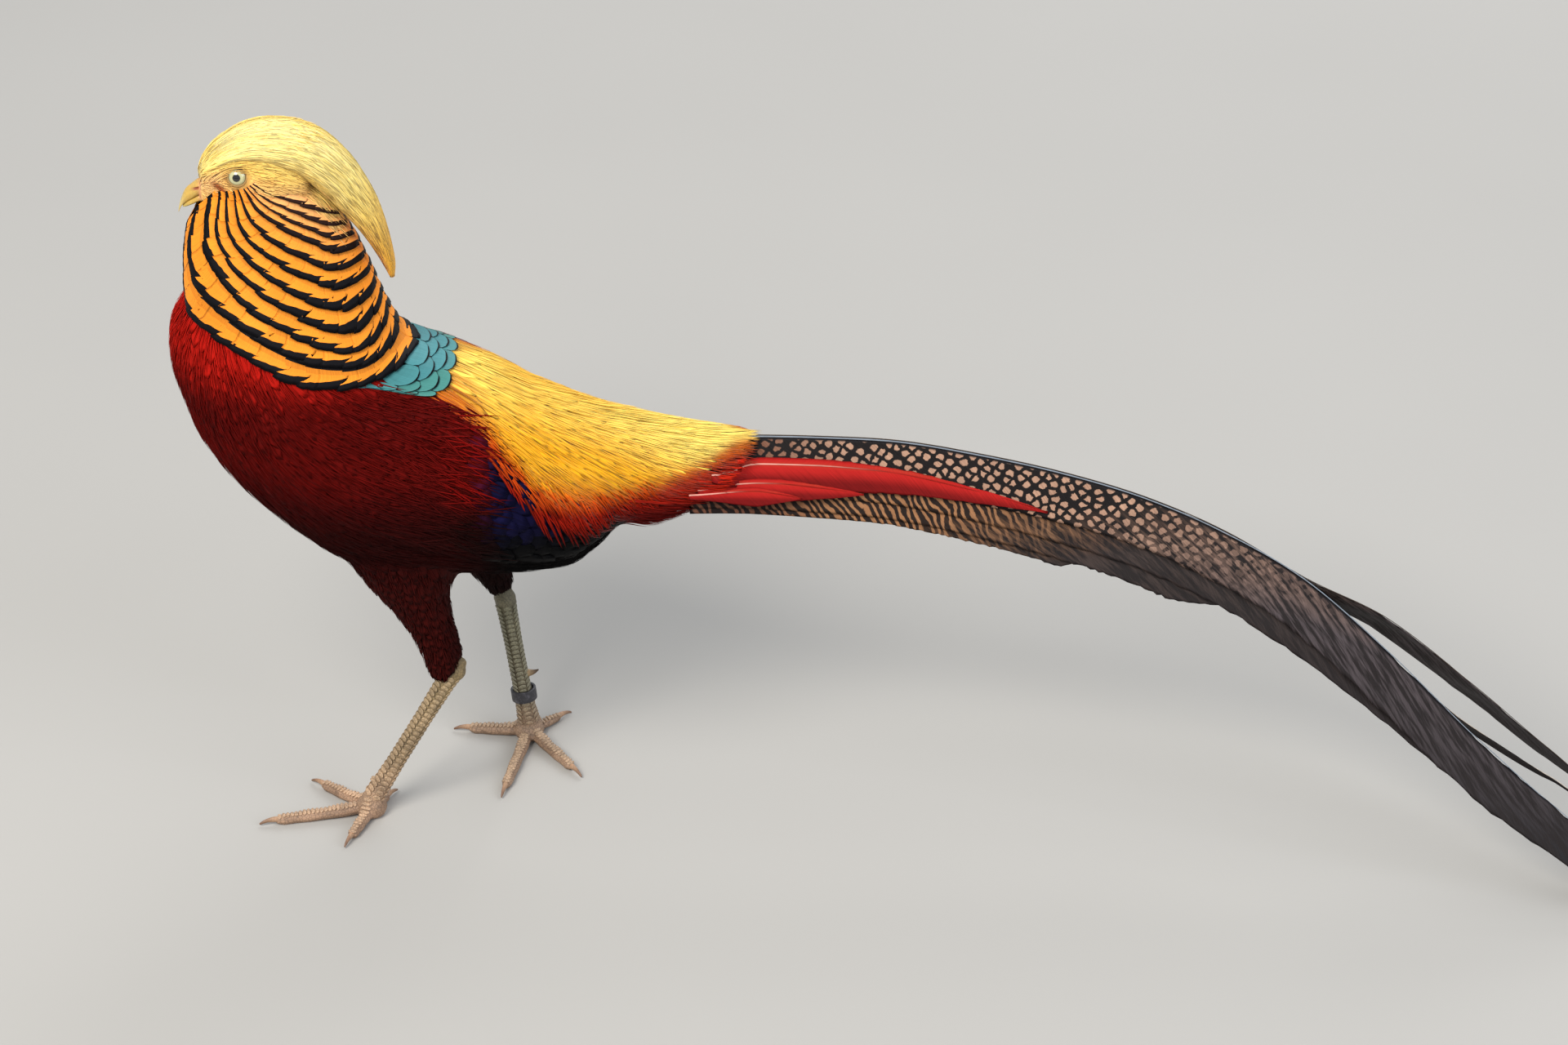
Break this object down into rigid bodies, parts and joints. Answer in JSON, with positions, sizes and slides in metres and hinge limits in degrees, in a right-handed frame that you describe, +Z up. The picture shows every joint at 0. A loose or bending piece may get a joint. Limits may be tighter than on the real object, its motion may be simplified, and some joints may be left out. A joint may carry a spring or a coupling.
{
  "type": "golden pheasant",
  "caption": "Life-size cock golden pheasant in mid step, with folded long tail, ruffed neck, crest and a plain leg ring.",
  "frame": {"origin": "on the floor, under the middle of the model's box", "axes": "+X from the bill towards the tail tip, +Z up, the bird's left side faces -Y"},
  "size_m": [0.8362, 0.2142, 0.38],
  "materials": {
    "plumage_gold": "silky",
    "plumage_orange": "satin, with blue-black bars",
    "plumage_teal": "glossy scales with dark edges",
    "plumage_crimson": "soft satin",
    "plumage_maroon": "matt",
    "plumage_navy": "satin",
    "plumage_face": "matt",
    "plumage_barred": "satin, spotted and barred",
    "horn_bill": "polished horn",
    "eye_iris": "wet gloss",
    "leg_scale": "scaled, dull",
    "horn_claw": "dull horn",
    "ring_band": "worn, bare of lettering"
  },
  "bodies": {
    "root": {"cape": "plumage_orange", "mantle": "plumage_teal", "rump": "plumage_gold", "trunk": "plumage_crimson", "wing_left": "plumage_navy", "wing_right": "plumage_navy", "head": "plumage_face", "crest": "plumage_gold", "bill_upper": "horn_bill", "bill_lower": "horn_bill", "eye_left": "eye_iris", "eye_right": "eye_iris", "thigh_left": "plumage_maroon", "thigh_right": "plumage_maroon", "shank_left": "leg_scale", "shank_right": "leg_scale", "spur_left": "horn_claw", "spur_right": "horn_claw", "toe_left_1": "leg_scale", "toe_left_2": "leg_scale", "toe_left_3": "leg_scale", "toe_left_4": "leg_scale", "toe_right_1": "leg_scale", "toe_right_2": "leg_scale", "toe_right_3": "leg_scale", "toe_right_4": "leg_scale", "claw_left_1": "horn_claw", "claw_left_2": "horn_claw", "claw_left_3": "horn_claw", "claw_left_4": "horn_claw", "claw_right_1": "horn_claw", "claw_right_2": "horn_claw", "claw_right_3": "horn_claw", "claw_right_4": "horn_claw", "leg_ring": "ring_band", "tail_left_central": "plumage_barred", "tail_left_side_1": "plumage_barred", "tail_left_side_2": "plumage_barred", "tail_left_side_3": "plumage_barred", "tail_right_central": "plumage_barred", "tail_right_side_1": "plumage_barred", "tail_right_side_2": "plumage_barred", "tail_right_side_3": "plumage_barred", "covert_1_left": "plumage_crimson", "covert_2_left": "plumage_crimson", "covert_3_left": "plumage_crimson", "covert_1_right": "plumage_crimson", "covert_2_right": "plumage_crimson", "covert_3_right": "plumage_crimson"}
  },
  "joints": []
}
